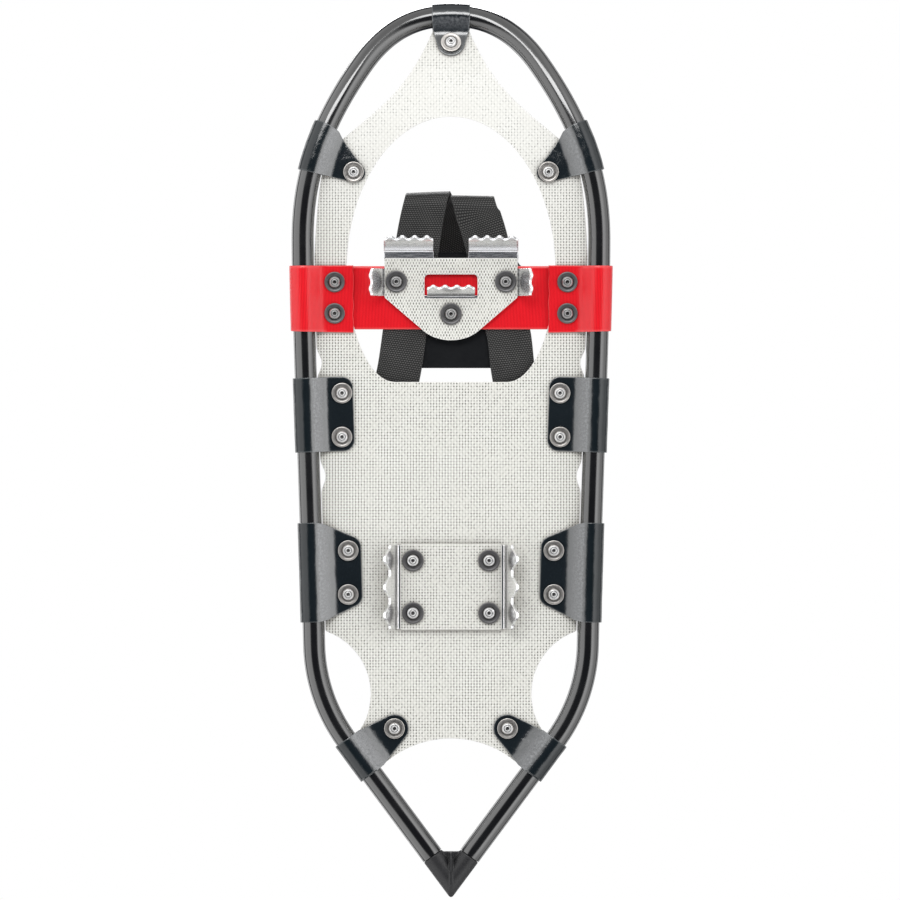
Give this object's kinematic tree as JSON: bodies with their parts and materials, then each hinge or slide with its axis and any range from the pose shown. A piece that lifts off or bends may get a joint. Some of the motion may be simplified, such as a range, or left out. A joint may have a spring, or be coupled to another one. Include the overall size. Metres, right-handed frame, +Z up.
{
  "type": "snowshoe",
  "caption": "Aluminium-frame snowshoe with a V tail, woven deck, pivoting strap binding with toe crampon, heel crampon and cam buckles.",
  "frame": {"origin": "on the ground plane through the crampon teeth, at the middle of the frame's length and width", "axes": "+Y towards the toe, +X to the wearer's right, +Z up as worn"},
  "size_m": [0.2326, 0.6457, 0.1017],
  "materials": {
    "tube_finish": "gloss black coating on aluminium tube",
    "cap_plastic": "moulded, satin",
    "deck_fabric": "open basket weave, coated",
    "coated_tab": "glossy coated fabric",
    "red_strap": "glossy coated webbing",
    "crampon_alloy": "bare, bright",
    "rivet_steel": "zinc plated",
    "dark_rivet": "dark grey washer, bright head",
    "webbing": "woven, matte",
    "footbed_plastic": "moulded, satin",
    "buckle_plastic": "moulded, satin"
  },
  "bodies": {
    "frame": {"frame_tube": "tube_finish", "tail_cap": "cap_plastic", "deck": "deck_fabric", "toe_tab": "coated_tab", "front_tab_right": "coated_tab", "front_tab_left": "coated_tab", "mid_tab_right": "coated_tab", "mid_tab_left": "coated_tab", "rear_tab_right": "coated_tab", "rear_tab_left": "coated_tab", "tail_tab_right": "coated_tab", "tail_tab_left": "coated_tab", "pivot_strap_right": "red_strap", "pivot_strap_left": "red_strap", "heel_crampon": "crampon_alloy", "heel_crampon_patch": "deck_fabric", "toe_rivet": "rivet_steel", "front_rivet_right": "rivet_steel", "tail_rivet_right": "rivet_steel", "mid_rivet_right_front": "rivet_steel", "mid_rivet_right_rear": "rivet_steel", "rear_rivet_right_front": "rivet_steel", "rear_rivet_right_rear": "rivet_steel", "pivot_rivet_right_front": "dark_rivet", "pivot_rivet_right_rear": "dark_rivet", "heel_crampon_rivet_right_front": "dark_rivet", "heel_crampon_rivet_right_rear": "dark_rivet", "front_rivet_left": "rivet_steel", "tail_rivet_left": "rivet_steel", "mid_rivet_left_front": "rivet_steel", "mid_rivet_left_rear": "rivet_steel", "rear_rivet_left_front": "rivet_steel", "rear_rivet_left_rear": "rivet_steel", "pivot_rivet_left_front": "dark_rivet", "pivot_rivet_left_rear": "dark_rivet", "heel_crampon_rivet_left_front": "dark_rivet", "heel_crampon_rivet_left_rear": "dark_rivet"},
    "binding": {"pivot_strap_centre": "red_strap", "toe_crampon": "crampon_alloy", "toe_crampon_patch": "deck_fabric", "footbed": "footbed_plastic", "toe_crampon_rivet_right": "dark_rivet", "toe_crampon_rivet_left": "dark_rivet", "toe_crampon_rivet_rear": "dark_rivet", "harness_strap_right": "webbing", "harness_strap_left": "webbing", "toe_left_buckle": "buckle_plastic", "toe_left_buckle_pin": "rivet_steel", "toe_left_buckle_rivet": "rivet_steel", "toe_right_buckle": "buckle_plastic", "toe_right_buckle_pin": "rivet_steel", "toe_right_buckle_rivet": "rivet_steel"},
    "heel_loop": {"heel_strap": "webbing", "heel_strap_anchor": "webbing", "heel_buckle": "buckle_plastic", "heel_buckle_pin": "rivet_steel"},
    "toe_lever_left": {"toe_left_buckle_lever": "buckle_plastic"},
    "toe_lever_right": {"toe_right_buckle_lever": "buckle_plastic"},
    "heel_lever": {"heel_buckle_lever": "buckle_plastic"}
  },
  "joints": [
    {"name": "binding_pivot", "type": "hinge", "parent": "frame", "child": "binding", "pos_m": [0, 0.1096, 0.02305], "axis": [-1, 0, 0], "range_deg": [0, 60], "stiffness_Nm_per_rad": 0.5},
    {"name": "heel_loop_swing", "type": "hinge", "parent": "binding", "child": "heel_loop", "pos_m": [0, 0.0456, 0.025], "axis": [-1, 0, 0], "range_deg": [0, 70]},
    {"name": "toe_lever_left_cam", "type": "hinge", "parent": "binding", "child": "toe_lever_left", "pos_m": [-0.06608, 0.1096, 0.06883], "axis": [0.0868, -0.866, 0.4924], "range_deg": [0, 75]},
    {"name": "toe_lever_right_cam", "type": "hinge", "parent": "binding", "child": "toe_lever_right", "pos_m": [0.05508, 0.1096, 0.06883], "axis": [0.0868, 0.866, -0.4924], "range_deg": [0, 75]},
    {"name": "heel_lever_cam", "type": "hinge", "parent": "heel_loop", "child": "heel_lever", "pos_m": [-0.05517, -0.02995, 0.05526], "axis": [-0.0136, 0.2711, 0.9625], "range_deg": [0, 75]}
  ]
}
